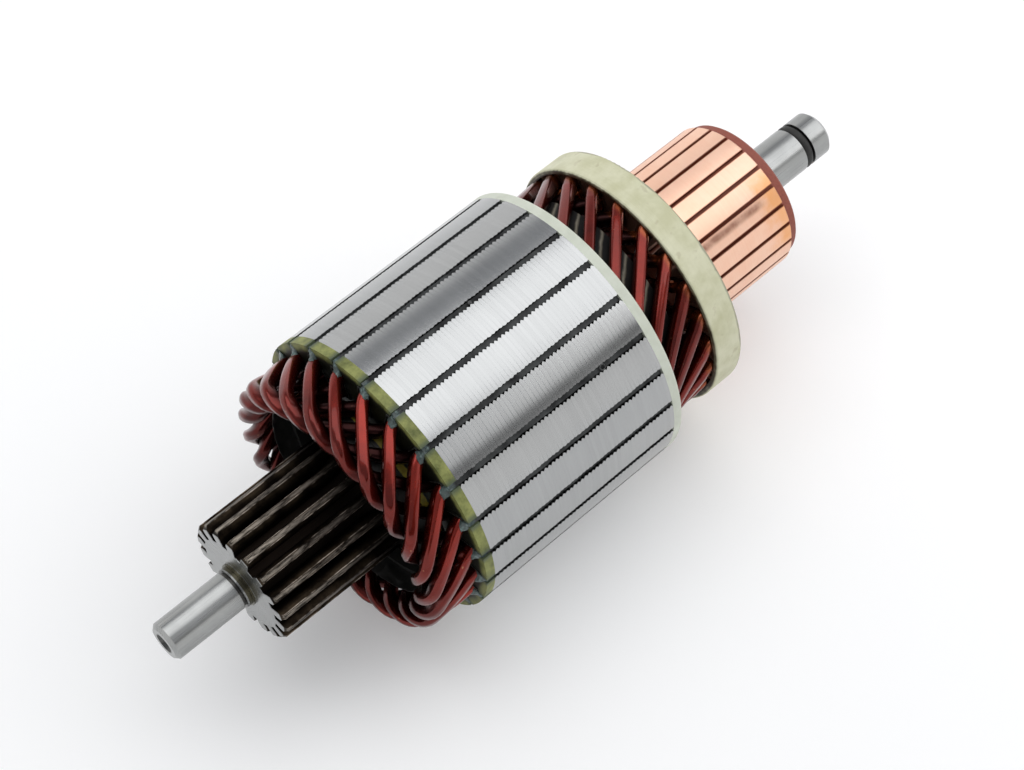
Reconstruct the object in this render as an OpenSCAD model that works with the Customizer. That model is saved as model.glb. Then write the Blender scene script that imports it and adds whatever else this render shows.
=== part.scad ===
// Armature of a geared starter motor: a slotted iron core on a shaft, wound with bare-ended copper
// hairpins that end in the risers of a moulded commutator. The drive end is at -X, the commutator at +X.
// The shaft's axis is the X axis, and the origin is half way along the shaft.

/* [Core] */
// Outside diameter of the lamination stack
core_d = 66; // [62:0.5:72]
// Laminations in the stack
lamination_count = 50; // [40:1:60]
// Thickness of one lamination
lamination_t = 1; // [0.8:0.05:1.2]
// Slots round the core, with one hairpin and one commutator bar for each
slot_count = 23; // [20, 22, 23]
// Direction of the first slot, turned from the Y axis towards the Z axis
first_slot_angle = 86.5; // [0:0.5:360]
// Width of a slot's mouth at the core's surface
slot_mouth_w = 1.2; // [0.8:0.1:2]
// Iron between the core's surface and the straight walls of a slot
slot_lip = 2; // [1.6:0.1:3]
// Height of the slanted shoulders under a slot's mouth
slot_shoulder = 0.6; // [0.3:0.1:1]

/* [End insulation] */
// Thickness of the fibreglass disc on the core's drive end
end_disc_t = 2.2; // [1.5:0.1:3]
// Width of the moulded ring on the core's commutator end
end_ring_w = 2.5; // [2:0.1:4]
// Thickness of the slotted flange inside that ring
end_flange_t = 0.5; // [0.3:0.05:0.7]
// Rounding of the ring's free edge
end_ring_edge = 0.7; // [0.3:0.1:1]
// Thickness of the paper liner in a slot
liner_t = 0.25; // [0.15:0.05:0.4]
// Clearance between pieces that are fitted together
fit_gap = 0.05; // [0.02:0.01:0.1]

/* [Winding] */
// Width of a hairpin's copper bar
conductor_w = 2.5; // [2:0.1:2.8]
// Height of a hairpin's copper bar
conductor_h = 3.2; // [2.6:0.1:3.6]
// Bevel on the corners of the bar
conductor_edge = 0.6; // [0.3:0.1:0.8]
// Space between the two layers of bars in a slot
layer_gap = 0.8; // [0.6:0.1:1.2]
// Straight length of a bar past the end disc
lead_out = 0.4; // [0.3:0.1:1]
// Reach of the hairpins' noses past the straight leads
nose_reach = 10.8; // [10:0.2:14]
// Share of a hairpin's half span in which its nose passes from one layer to the other
nose_fold = 0.28; // [0.22:0.02:0.32]
// Share of the half span in which the bar turns over
nose_turn = 0.55; // [0.35:0.05:0.7]
// Roundness of the nose, as a share of the half span
nose_round = 0.4; // [0.3:0.05:0.5]
// Width of the fibreglass ring under the bottom layer of the noses
layer_ring_w = 2.8; // [1.2:0.1:3]
// Thickness of that ring
layer_ring_t = 1.3; // [0.8:0.1:2]
// Distance of that ring from the straight leads
layer_ring_out = 0.6; // [0.4:0.1:1]
// Distance from the core to the back of the risers
lead_length = 17; // [14:0.5:20]
// Fall of the outer layer between the core and the risers
riser_drop = 2.3; // [1.8:0.1:3.4]
// Space between the two layers in a riser
riser_layer_gap = 0.3; // [0.2:0.05:0.6]
// Length of bare bar that stands out in front of a riser
tail_out = 0.3; // [0:0.1:1]

/* [Banding] */
// Width of the glass band over the risers
band_w = 7.2; // [6.8:0.1:9]
// Thickness of the band
band_t = 1.2; // [0.9:0.1:2]
// Rounding of the band's outer edges
band_edge = 0.5; // [0.3:0.1:0.6]
// Distance that the band stands out in front of the risers
band_front = 0.2; // [0:0.1:0.6]

/* [Commutator] */
// Diameter of the brush track
track_d = 35.6; // [32:0.2:37]
// Length of the brush track, in front of the risers
track_length = 28.2; // [22:0.2:34]
// Width of the grooves between the bars
bar_gap = 0.8; // [0.5:0.1:1.2]
// Depth of those grooves
groove_depth = 0.9; // [0.5:0.1:1.4]
// Depth of a bar, from the track to the underside of its dovetail
bar_depth = 4.2; // [3.6:0.1:5]
// Depth of a bar above its dovetail
bar_neck = 2; // [1.6:0.1:2.6]
// Thickness of a riser along the shaft
riser_t = 6; // [5:0.2:7]
// Width of a riser at its top
riser_w = 5; // [4.2:0.1:5.6]
// Length of the moulded collar in front of the bars
hub_collar = 2.4; // [1.5:0.1:4]
// Length of the moulded flange behind the risers
hub_flange = 3; // [2:0.1:5]

/* [Shaft] */
// Diameter that carries the core
core_seat_d = 18; // [16:0.2:20]
// Diameter that carries the commutator
commutator_seat_d = 15; // [12:0.2:17]
// Diameter of the shoulder that the core is pressed against
shoulder_d = 22; // [20.4:0.2:26]
// Length of that shoulder, from the core to the pinion
shoulder_length = 6.5; // [4:0.5:8]
// Diameter of the drive-end journal
drive_journal_d = 8.72; // [8.2:0.02:9]
// Length of the drive-end journal
drive_journal_length = 16.8; // [12:0.2:22]
// Diameter of the grinding relief behind the drive-end journal
relief_d = 8; // [7:0.1:8.1]
// Width of the grinding relief
relief_w = 0.7; // [0.4:0.1:1.2]
// Diameter of the thrust ring behind the relief
thrust_ring_d = 9.2; // [9.1:0.05:9.6]
// Width of the thrust ring
thrust_ring_w = 1.2; // [0.8:0.1:2]
// Diameter of the collar on the pinion's face
face_collar_d = 10; // [9.8:0.1:12]
// Width of that collar
face_collar_w = 0.5; // [0.3:0.1:1]
// Diameter of the commutator-end journal
commutator_journal_d = 10.6; // [9.8:0.05:11.4]
// Length of the commutator-end journal
commutator_journal_length = 15.7; // [12:0.1:22]
// Diameter at the bottom of the groove for the rubber ring
ring_groove_d = 8.2; // [7.6:0.1:9]
// Width of that groove
ring_groove_w = 2.5; // [2:0.1:3]
// Length of the collar outside that groove
end_collar_w = 5.2; // [3:0.1:7]
// Bevel on the shaft's ends
shaft_edge = 0.8; // [0.3:0.1:1]
// Diameter of the lathe centres at the shaft's faces
lathe_centre_d = 4.5; // [3:0.1:5]
// Diameter of the pilot holes in the lathe centres
pilot_d = 1.6; // [1:0.1:2.5]
// Depth of the pilot holes from the shaft's faces
pilot_depth = 5; // [4.5:0.5:8]

/* [Pinion] */
// Teeth of the pinion cut on the shaft
pinion_teeth = 18; // [16:1:20]
// Module of the teeth
pinion_module = 1.4; // [1.3:0.05:1.5]
// Thickness of a tooth on the pitch circle
tooth_t = 2.3; // [2:0.05:2.5]
// Pressure angle of the teeth
pressure_angle = 14.5; // [14.5:0.5:20]
// Direction of the first tooth, turned from the Y axis towards the Z axis
first_tooth_angle = 83.5; // [0:0.5:360]
// Length of the toothed blank
pinion_length = 31.7; // [28:0.1:36]
// Length of the tooth gaps at full depth
gap_run = 22.2; // [16:0.2:24]
// Radius of the curve in which the tooth gaps run out
run_out_r = 14; // [10:1:18]
// Bevel on the ends of the teeth
tooth_edge = 0.8; // [0.4:0.1:1.2]

/* [Hidden] */
$fn = 96;
// Colours of the pieces
steel = [0.72, 0.73, 0.75];
iron = [0.66, 0.68, 0.70];
enamel = [0.55, 0.17, 0.13];
copper = [0.92, 0.62, 0.46];
phenolic = [0.42, 0.20, 0.15];
glass_disc = [0.60, 0.63, 0.36];
cream = [0.84, 0.85, 0.74];
band_glass = [0.80, 0.81, 0.68];
liner_paper = [0.30, 0.38, 0.38];
rubber = [0.07, 0.07, 0.07];

// A cut is drawn this much longer than what it cuts
cut = 1;

// Places along the shaft, from the core's drive-end face
core_length = lamination_count * lamination_t;
riser_back = core_length + lead_length;
riser_front = riser_back + riser_t;
track_end = riser_front + track_length;
hub_back = riser_back - hub_flange;
hub_end = track_end + hub_collar;
// The commutator's seat ends inside the hub, in a recess of its face
hub_recess = 1.2;
ring_groove_start = hub_end + commutator_journal_length;
ring_groove_end = ring_groove_start + ring_groove_w;
commutator_tip = ring_groove_end + end_collar_w;
pinion_back = -shoulder_length;
pinion_front = pinion_back - pinion_length;
thrust_ring_start = pinion_front - face_collar_w - thrust_ring_w;
relief_start = thrust_ring_start - relief_w;
drive_tip = relief_start - drive_journal_length;
mid_x = (drive_tip + commutator_tip) / 2;

// Radii of the core, the slots and the two layers of bars
core_r = core_d / 2;
core_seat_r = core_seat_d / 2;
slot_pitch = 360 / slot_count;
slot_top_r = core_r - slot_lip;
slot_w = conductor_w + 2 * (liner_t + 2 * fit_gap);
bar_inset = liner_t + 2 * fit_gap + conductor_h / 2;
top_r = slot_top_r - bar_inset;
bottom_r = top_r - conductor_h - layer_gap;
mid_r = (top_r + bottom_r) / 2;
slot_bottom_r = bottom_r - bar_inset;
// Width of the end ring's flange inside the slots
flange_margin = 1.5;

// A three-wave winding: one hairpin spans a sixth of the core, and its two tails a third of the commutator
back_pitch = round(slot_count / 6);
commutator_pitch = round(slot_count / 3);
tail_pitch = (commutator_pitch - back_pitch) / 2;
half_span = back_pitch * slot_pitch / 2;
tail_angle = tail_pitch * slot_pitch;
straight_lead = end_disc_t + lead_out;
// The liners end this far short of the bends of the bars
liner_inset = 0.15;

// The bars' fall towards the risers ends just behind the band
band_end = riser_front + band_front;
band_start = band_end - band_w;
fall_clear = 1.6;
// The bars' slant ends just behind the risers
slant_clear = 0.8;
slant_length = lead_length - slant_clear;
fall_share = (band_start - fall_clear - core_length) / slant_length;
riser_top_r = top_r - riser_drop;
riser_bottom_r = riser_top_r - conductor_h - riser_layer_gap;

// Commutator
track_r = track_d / 2;
neck_r = track_r - bar_neck;
foot_r = track_r - bar_depth;
groove_r = track_r - groove_depth;
riser_r = riser_top_r + conductor_h / 2 + fit_gap;
riser_floor_r = riser_bottom_r - conductor_h / 2 - fit_gap;
riser_slot_w = conductor_w + 2 * fit_gap;
bar_angle = slot_pitch - 2 * asin(bar_gap / 2 / track_r);
riser_angle = 2 * asin(riser_w / 2 / riser_r);
// Inset of a dovetail's neck and of its foot from the ends of a bar
dovetail_neck = 3;
dovetail_foot = 1.4;
bar_edge = 0.4;
hub_edge = 0.5;
// Clearance of the hub's flange under the bars, and the wall round the recess of its face
hub_flange_clear = 0.8;
hub_recess_wall = 1.5;
hub_flange_r = riser_floor_r - hub_flange_clear;
commutator_seat_r = commutator_seat_d / 2;

// Pinion
pitch_r = pinion_module * pinion_teeth / 2;
tip_r = pitch_r + pinion_module;
root_r = pitch_r - 1.25 * pinion_module;
base_r = pitch_r * cos(pressure_angle);
tooth_pitch = 360 / pinion_teeth;
flank_steps = 6;

function numbered(name, i) = str(name, i < 10 ? "_0" : "_", i);
function slot_angle(i) = first_slot_angle + (i - 1) * slot_pitch;
function riser_direction(i) = slot_angle(i) - tail_angle;
function within(value, low, high) = min(high, max(low, value));
function unit(v) = v / norm(v);
function reversed(list) = [for (i = [len(list) - 1:-1:0]) list[i]];

// Stands a shape that is drawn round the Z axis on the shaft, with its zero angle on the Y axis
module on_shaft(x = 0) {
    translate([x - mid_x, 0, 0])
        rotate([90, 0, 90])
            children();
}

// A part of a turned shape, centred on the zero angle
module sector(angle) {
    rotate(-angle / 2)
        rotate_extrude(angle = angle)
            children();
}

// Outline of one slot along the Y axis, open at the core's surface
module slot_outline(wall_gap = 0) {
    w = slot_w / 2 + wall_gap;
    mouth = slot_mouth_w / 2 + wall_gap;
    polygon([
        [slot_bottom_r - wall_gap, -w],
        [slot_top_r, -w],
        [slot_top_r + slot_shoulder, -mouth],
        [core_r + cut, -mouth],
        [core_r + cut, mouth],
        [slot_top_r + slot_shoulder, mouth],
        [slot_top_r, w],
        [slot_bottom_r - wall_gap, w],
    ]);
}

// A disc with the core's outline and slots
module slotted_disc(bore_r, wall_gap = 0) {
    difference() {
        circle(r = core_r);
        circle(r = bore_r);
        for (i = [1:slot_count])
            rotate(slot_angle(i))
                slot_outline(wall_gap);
    }
}

module lamination_stack() {
    color(iron)
        on_shaft()
            linear_extrude(core_length)
                slotted_disc(core_seat_r + fit_gap);
}

module drive_end_disc() {
    color(glass_disc)
        on_shaft(-end_disc_t)
            linear_extrude(end_disc_t)
                slotted_disc(shoulder_d / 2 + fit_gap, fit_gap);
}

// The bars slant as soon as they leave the core, so the flange's slots are wider than the core's
module commutator_end_ring() {
    slant = tan_slant(top_r);
    opening = conductor_w * sqrt(1 + slant * slant) + 2 * slant * end_flange_t + 2 * fit_gap;
    flange_bore_r = slot_bottom_r - flange_margin;
    color(cream)
        on_shaft(core_length)
            difference() {
                rotate_extrude()
                    end_ring_profile(flange_bore_r);
                for (i = [1:slot_count])
                    rotate(slot_angle(i))
                        translate([flange_bore_r - cut, -opening / 2, -cut])
                            cube([slot_top_r - flange_bore_r + cut, opening, end_flange_t + 2 * cut]);
            }
}

// Distance round the shaft that a bar moves for each length along it, between the core and the risers
function tan_slant(r) = r * tail_angle * PI / 180 / slant_length;

module end_ring_profile(flange_bore_r) {
    edge_r = core_r - end_ring_edge;
    edge_x = end_ring_w - end_ring_edge;
    translate([slot_top_r, 0])
        square([edge_r - slot_top_r, end_ring_w]);
    translate([slot_top_r, 0])
        square([core_r - slot_top_r, edge_x]);
    translate([edge_r, edge_x])
        circle(r = end_ring_edge);
    translate([flange_bore_r, 0])
        square([edge_r - flange_bore_r, end_flange_t]);
}

// One closed paper sleeve for each slot
module slot_liners() {
    outer_w = slot_w - 2 * fit_gap;
    outer_h = slot_top_r - slot_bottom_r - 2 * fit_gap;
    color(liner_paper)
        on_shaft(liner_inset - straight_lead)
            for (i = [1:slot_count])
                rotate(slot_angle(i))
                    translate([slot_bottom_r + fit_gap, 0, 0])
                        linear_extrude(straight_lead + core_length - 2 * liner_inset)
                            difference() {
                                translate([0, -outer_w / 2])
                                    square([outer_h, outer_w]);
                                translate([liner_t, liner_t - outer_w / 2])
                                    square([outer_h - 2 * liner_t, outer_w - 2 * liner_t]);
                            }
}

// Fibreglass ring that backs the bottom layer of the hairpins' ends
module drive_end_layer_ring() {
    outer_r = bottom_r - conductor_h / 2 - 4 * fit_gap;
    color(glass_disc)
        on_shaft(-straight_lead - layer_ring_out - layer_ring_w)
            rotate_extrude()
                translate([outer_r - layer_ring_t, 0])
                    square([layer_ring_t, layer_ring_w]);
}

// Paper sleeve between the two layers of the hairpins' tails
module commutator_end_layer_sleeve() {
    sleeve_t = riser_layer_gap / 2;
    first = 0.18;
    last = 0.64;
    mid_first = (leg_r(1, first) + leg_r(-1, first)) / 2;
    mid_last = (leg_r(1, last) + leg_r(-1, last)) / 2;
    color(liner_paper)
        on_shaft(core_length)
            rotate_extrude()
                polygon([
                    [mid_first - sleeve_t / 2, first * slant_length],
                    [mid_first + sleeve_t / 2, first * slant_length],
                    [mid_last + sleeve_t / 2, last * slant_length],
                    [mid_last - sleeve_t / 2, last * slant_length],
                ]);
}

module banding_ring() {
    inner_r = riser_r + fit_gap;
    color(band_glass)
        on_shaft(band_start)
            rotate_extrude() {
                translate([inner_r, 0])
                    square([band_t - band_edge, band_w]);
                translate([inner_r, band_edge])
                    square([band_t, band_w - 2 * band_edge]);
                for (x = [band_edge, band_w - band_edge])
                    translate([inner_r + band_t - band_edge, x])
                        circle(r = band_edge);
            }
}

// Long section of a commutator bar, with a dovetail that the hub is moulded round
module bar_profile() {
    polygon([
        [track_r, riser_back],
        [track_r, track_end - bar_edge],
        [track_r - bar_edge, track_end],
        [neck_r, track_end],
        [neck_r, track_end - dovetail_neck],
        [foot_r, track_end - dovetail_foot],
        [foot_r, riser_back + dovetail_foot],
        [neck_r, riser_back + dovetail_neck],
        [neck_r, riser_back],
    ]);
}

module bar_body() {
    sector(bar_angle)
        bar_profile();
}

module commutator_bar(i) {
    color(copper)
        on_shaft()
            rotate(riser_direction(i))
                difference() {
                    union() {
                        bar_body();
                        sector(riser_angle)
                            translate([neck_r, riser_back])
                                square([riser_r - neck_r, riser_t]);
                    }
                    translate([riser_floor_r, -riser_slot_w / 2, riser_back - cut])
                        cube([riser_r, riser_slot_w, riser_t + 2 * cut]);
                }
}

// Moulded body that fills the space between the bars up to the floor of the grooves
module commutator_hub() {
    bore_r = commutator_seat_r + fit_gap;
    recess_r = foot_r - hub_recess_wall;
    color(phenolic)
        on_shaft()
            difference() {
                rotate_extrude()
                    polygon([
                        [bore_r, hub_back],
                        [hub_flange_r - hub_edge, hub_back],
                        [hub_flange_r, hub_back + hub_edge],
                        [hub_flange_r, riser_back],
                        [groove_r, riser_back],
                        [groove_r, hub_end - hub_edge],
                        [groove_r - hub_edge, hub_end],
                        [recess_r, hub_end],
                        [recess_r - hub_recess / 2, hub_end - hub_recess],
                        [bore_r, hub_end - hub_recess],
                    ]);
                for (i = [1:slot_count])
                    rotate(riser_direction(i))
                        bar_body();
            }
}

// Radius of a leg's middle at a share of its way from the core to the riser.
// The side is 1 for the top layer and -1 for the bottom layer.
function leg_r(side, share) =
    let (
        core_end = side > 0 ? top_r : bottom_r,
        riser_end = side > 0 ? riser_top_r : riser_bottom_r
    )
    core_end + (riser_end - core_end) * min(1, share / fall_share);

// A station of a hairpin's path is [place along the shaft, radius, angle, turn of the section]
function leg_station(side, share) =
    [
        core_length + slant_length * share,
        leg_r(side, share),
        -side * (half_span + tail_angle * share),
        90 - 90 * side
    ];

function tail_station(side) =
    [riser_front + tail_out, leg_r(side, 1), -side * (half_span + tail_angle), 90 - 90 * side];

function leg_stations(side) =
    concat(
        [tail_station(side), leg_station(side, 1)],
        [for (i = [leg_steps:-1:0]) leg_station(side, fall_share * i / leg_steps)]
    );

// Height of the nose's curve, from 0 at the straight lead to 1 at the tip
function nose_rise(t) =
    (sqrt(1 + nose_round * nose_round) - sqrt(t * t + nose_round * nose_round))
    / (sqrt(1 + nose_round * nose_round) - nose_round);

// A slope that starts and ends gently, from -1 to 1
function eased(u) = (3 * u - pow(u, 3)) / 2;

// The bar turns over at the nose: its outer face in the top layer is its inner face in the bottom layer
function nose_station(t) =
    let (
        fold = within(t / nose_fold, -1, 1),
        turn = within(t / nose_turn, -1, 1)
    )
    [
        -straight_lead - nose_reach * nose_rise(t),
        mid_r + (top_r - mid_r) * sin(90 * fold),
        -half_span * t,
        90 - 90 * eased(turn)
    ];

// Stations of a leg's slant and of half a nose, where they stand closer together near the tip
leg_steps = 4;
nose_half_steps = 8;
nose_spread = 1.3;
nose_stations = [
    for (i = [nose_half_steps:-1:-nose_half_steps])
        nose_station(sign(i) * pow(abs(i) / nose_half_steps, nose_spread))
];

hairpin_path = concat(leg_stations(1), nose_stations, reversed(leg_stations(-1)));

// Section of the bar, with bevelled corners
function bar_section() =
    let (w = conductor_w / 2, h = conductor_h / 2, e = conductor_edge)
    [
        [w, h - e], [w - e, h], [e - w, h], [-w, h - e],
        [-w, e - h], [e - w, -h], [w - e, -h], [w, e - h]
    ];

function station_point(s, direction) =
    [s[0] - mid_x, s[1] * cos(direction + s[2]), s[1] * sin(direction + s[2])];

function station_normal(s, direction) =
    [-sin(s[3]), cos(s[3]) * cos(direction + s[2]), cos(s[3]) * sin(direction + s[2])];

function bar_ring(before, here, after, direction) =
    let (
        along = unit(station_point(after, direction) - station_point(before, direction)),
        lean = station_normal(here, direction),
        up = unit(lean - (lean * along) * along),
        across = cross(along, up)
    )
    [for (p = bar_section()) station_point(here, direction) + p[0] * across + p[1] * up];

module hairpin(i) {
    direction = slot_angle(i) + half_span;
    last = len(hairpin_path) - 1;
    sides = len(bar_section());
    rings = [
        for (k = [0:last])
            bar_ring(hairpin_path[max(0, k - 1)], hairpin_path[k], hairpin_path[min(last, k + 1)], direction)
    ];
    walls = [
        for (k = [0:last - 1], j = [0:sides - 1])
            let (
                a = k * sides + j,
                b = k * sides + (j + 1) % sides
            )
            each [[a, b, b + sides], [a, b + sides, a + sides]]
    ];
    start_cap = [for (j = [sides - 1:-1:0]) j];
    end_cap = [for (j = [0:sides - 1]) last * sides + j];
    color(enamel)
        polyhedron(points = [for (ring = rings) each ring], faces = concat(walls, [start_cap, end_cap]));
}

// Half the angle of a tooth at a radius, on an involute flank that goes on straight below the base circle
function involute_angle(r) =
    let (a = acos(min(1, base_r / r)))
    tan(a) * 180 / PI - a;

function half_tooth_angle(r) =
    tooth_t / 2 / pitch_r * 180 / PI + involute_angle(pitch_r) - involute_angle(max(r, base_r));

function gap_point(r, side) =
    let (a = side * (tooth_pitch / 2 - half_tooth_angle(r)))
    [r * cos(a), r * sin(a)];

// Outline of the space between two teeth
module gap_outline() {
    outer_r = tip_r + cut / 2;
    radii = [for (i = [0:flank_steps]) root_r + (outer_r - root_r) * i / flank_steps];
    polygon(concat(
        [for (r = radii) gap_point(r, -1)],
        [for (r = reversed(radii)) gap_point(r, 1)]
    ));
}

// The cutter leaves the blank on a curve, so each gap becomes shallower towards the core
module tooth_gap() {
    reach = 2 * tip_r;
    intersection() {
        translate([0, 0, pinion_front - cut])
            linear_extrude(pinion_length + cut)
                gap_outline();
        union() {
            translate([0, -reach, pinion_front - 2 * cut])
                cube([reach, 2 * reach, gap_run + 2 * cut]);
            translate([root_r + run_out_r, 0, pinion_front + gap_run])
                rotate([90, 0, 0])
                    cylinder(r = run_out_r, h = 2 * reach, center = true);
        }
    }
}

// Half section of the turned shaft, from the drive end to the commutator end
module shaft_profile() {
    drive_r = drive_journal_d / 2;
    end_r = commutator_journal_d / 2;
    centre_r = lathe_centre_d / 2;
    pilot_r = pilot_d / 2;
    cone = (centre_r - pilot_r) / tan(30);
    polygon([
        [0, drive_tip + pilot_depth],
        [pilot_r, drive_tip + pilot_depth],
        [pilot_r, drive_tip + cone],
        [centre_r, drive_tip],
        [drive_r - shaft_edge, drive_tip],
        [drive_r, drive_tip + shaft_edge],
        [drive_r, relief_start],
        [relief_d / 2, relief_start],
        [relief_d / 2, thrust_ring_start],
        [thrust_ring_d / 2, thrust_ring_start],
        [thrust_ring_d / 2, pinion_front - face_collar_w],
        [face_collar_d / 2, pinion_front - face_collar_w],
        [face_collar_d / 2, pinion_front],
        [tip_r - tooth_edge, pinion_front],
        [tip_r, pinion_front + tooth_edge],
        [tip_r, pinion_back - tooth_edge],
        [tip_r - tooth_edge, pinion_back],
        [shoulder_d / 2, pinion_back],
        [shoulder_d / 2, 0],
        [core_seat_r, 0],
        [core_seat_r, hub_back],
        [commutator_seat_r, hub_back],
        [commutator_seat_r, hub_end - hub_recess],
        [end_r, hub_end - hub_recess],
        [end_r, ring_groove_start],
        [ring_groove_d / 2, ring_groove_start],
        [ring_groove_d / 2, ring_groove_end],
        [end_r, ring_groove_end],
        [end_r, commutator_tip - shaft_edge],
        [end_r - shaft_edge, commutator_tip],
        [centre_r, commutator_tip],
        [pilot_r, commutator_tip - cone],
        [pilot_r, commutator_tip - pilot_depth],
        [0, commutator_tip - pilot_depth],
    ]);
}

module shaft() {
    color(steel)
        on_shaft()
            difference() {
                rotate_extrude()
                    shaft_profile();
                for (i = [0:pinion_teeth - 1])
                    rotate(first_tooth_angle + (i + 0.5) * tooth_pitch)
                        tooth_gap();
            }
}

// Rubber ring with a round crown, flush with the journal, and a flat foot on the groove's floor
module rubber_ring() {
    crown_r = ring_groove_w / 2 - fit_gap;
    foot_r = ring_groove_d / 2 + fit_gap;
    color(rubber)
        on_shaft(ring_groove_start + ring_groove_w / 2)
            rotate_extrude()
                intersection() {
                    translate([commutator_journal_d / 2 - crown_r, 0])
                        circle(r = crown_r);
                    translate([foot_r, -ring_groove_w / 2])
                        square([commutator_journal_d / 2, ring_groove_w]);
                }
}

shaft();
lamination_stack();
drive_end_disc();
commutator_end_ring();
slot_liners();
drive_end_layer_ring();
commutator_end_layer_sleeve();
banding_ring();
commutator_hub();
rubber_ring();
for (i = [1:slot_count])
    hairpin(i);
for (i = [1:slot_count])
    commutator_bar(i);
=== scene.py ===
# %% [markdown]
# # A starter motor's armature
#
# The armature is the part of a starter motor that spins. A stack of steel sheets carries copper bars in its
# slots. The bars fold over at one end of the stack and run into the commutator at the other end. One steel
# shaft carries everything, and a pinion is cut straight into it. The shaft lies along X, with the pinion at
# -X. The solids come from the frame. This lesson gives each of them its finish, and makes anew what repeats:
# sheets, bars and resin.

# %% Tools and the frame
import math

import bmesh
import bpy
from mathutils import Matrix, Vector


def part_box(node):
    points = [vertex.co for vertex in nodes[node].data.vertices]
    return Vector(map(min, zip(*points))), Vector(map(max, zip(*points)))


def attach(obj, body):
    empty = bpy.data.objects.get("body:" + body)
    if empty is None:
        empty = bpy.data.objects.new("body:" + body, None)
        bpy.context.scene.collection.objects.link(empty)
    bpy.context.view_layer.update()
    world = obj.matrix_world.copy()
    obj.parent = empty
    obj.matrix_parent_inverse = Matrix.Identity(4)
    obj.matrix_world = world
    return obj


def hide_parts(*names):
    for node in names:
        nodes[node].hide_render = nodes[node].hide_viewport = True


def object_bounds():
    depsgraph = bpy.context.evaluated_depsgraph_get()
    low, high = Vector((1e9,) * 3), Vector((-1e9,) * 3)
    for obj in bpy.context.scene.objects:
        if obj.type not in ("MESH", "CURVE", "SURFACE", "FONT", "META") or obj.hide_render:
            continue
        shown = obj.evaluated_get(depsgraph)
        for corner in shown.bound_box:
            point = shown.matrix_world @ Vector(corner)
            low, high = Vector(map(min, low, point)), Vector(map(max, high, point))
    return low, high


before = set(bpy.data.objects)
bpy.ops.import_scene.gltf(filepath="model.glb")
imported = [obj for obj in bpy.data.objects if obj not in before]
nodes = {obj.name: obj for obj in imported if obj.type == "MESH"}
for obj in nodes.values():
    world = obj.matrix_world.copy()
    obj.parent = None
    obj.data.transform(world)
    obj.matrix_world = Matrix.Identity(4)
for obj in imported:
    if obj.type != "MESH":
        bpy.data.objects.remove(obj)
cad_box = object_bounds()
scene = bpy.context.scene
MM = 0.001
print("solids in the frame:", len(nodes))

# %% [markdown]
# ## Sums that make nodes
#
# A finish is a sum over the surface: how far along the shaft, how far round it, how much noise. Written as
# nodes, such a sum is hard to read. A small class wraps a socket, so that plain Python operators add the Math
# nodes, and its methods add steps and mixes. It serves geometry trees too, because they know the Math node.

# %% A socket that takes part in sums


class Wire:
    """An output socket, with the operators and the steps that finishes are made of."""

    def __init__(self, graph, socket):
        self.graph = graph
        self.socket = socket

    def math(self, operation, *others):
        return self.graph.math(operation, self, *others)

    def __add__(self, other):
        return self.math("ADD", other)

    def __sub__(self, other):
        return self.math("SUBTRACT", other)

    def __rsub__(self, other):
        return self.graph.math("SUBTRACT", other, self)

    def __mul__(self, other):
        return self.math("MULTIPLY", other)

    def __truediv__(self, other):
        return self.math("DIVIDE", other)

    def __pow__(self, other):
        return self.math("POWER", other)

    __radd__ = __add__
    __rmul__ = __mul__

    def step(self, low, high):
        """Rises smoothly from 0 at low to 1 at high. It falls where low is the larger."""
        if low > high:
            return 1 - self.step(high, low)
        sockets = {"Value": self, "From Min": low, "From Max": high}
        return self.graph.add("ShaderNodeMapRange", {"interpolation_type": "SMOOTHSTEP"}, sockets)

    def band(self, low, high, soft):
        """Is 1 between low and high, with soft edges."""
        return self.step(low - soft, low + soft) * self.step(high + soft, high - soft)

    def mix(self, first, second):
        """Goes from the first colour at 0 to the second at 1."""
        sockets = {0: self, 6: first, 7: second}
        return self.graph.add("ShaderNodeMix", {"data_type": "RGBA"}, sockets, out=2)

    def bump(self, strength, distance):
        """Takes the value as a height, for a Normal socket."""
        sockets = {"Height": self, "Strength": strength, "Distance": distance}
        return self.graph.add("ShaderNodeBump", sockets=sockets)


print("made:", Wire.__name__)

# %% A node tree


class Graph:
    """A node tree that is filled by calls."""

    def __init__(self, tree):
        self.tree = tree
        tree.nodes.clear()

    def add(self, kind, settings=None, sockets=None, out=0):
        """Adds a node, makes its settings, fills its sockets, and returns one of its outputs."""
        node = self.tree.nodes.new(kind)
        for name, value in (settings or {}).items():
            setattr(node, name, value)
        for key, value in (sockets or {}).items():
            self.plug(node.inputs[key], value)
        return Wire(self, node.outputs[out]) if node.outputs else node

    def plug(self, socket, value):
        if isinstance(value, Wire):
            self.tree.links.new(value.socket, socket)
        else:
            socket.default_value = value

    def math(self, operation, *values):
        return self.add("ShaderNodeMath", {"operation": operation}, dict(enumerate(values)))

    def vector(self, operation, *values, out=0):
        return self.add("ShaderNodeVectorMath", {"operation": operation}, dict(enumerate(values)), out)

    def split(self, vector):
        node = self.add("ShaderNodeSeparateXYZ", sockets={0: vector}).socket.node
        return [Wire(self, socket) for socket in node.outputs]

    def join(self, x, y, z):
        return self.add("ShaderNodeCombineXYZ", sockets={0: x, 1: y, 2: z})

    def noise(self, vector, scale, detail=2.0, roughness=0.5):
        sockets = {"Vector": vector, "Scale": scale, "Detail": detail, "Roughness": roughness}
        return self.add("ShaderNodeTexNoise", sockets=sockets)


print("made:", Graph.__name__)

# %% [markdown]
# ## Where a point lies on the shaft
#
# Nearly every finish here was made on a lathe, so it follows the shaft: lines run round it, and stains sit at
# one place along it. An image would need unwrapped meshes. Object coordinates need nothing, because every
# piece stands in the same frame. They are turned into a place along the shaft, a radius and an angle.

# %% Colours as they are read off a screen


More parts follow.
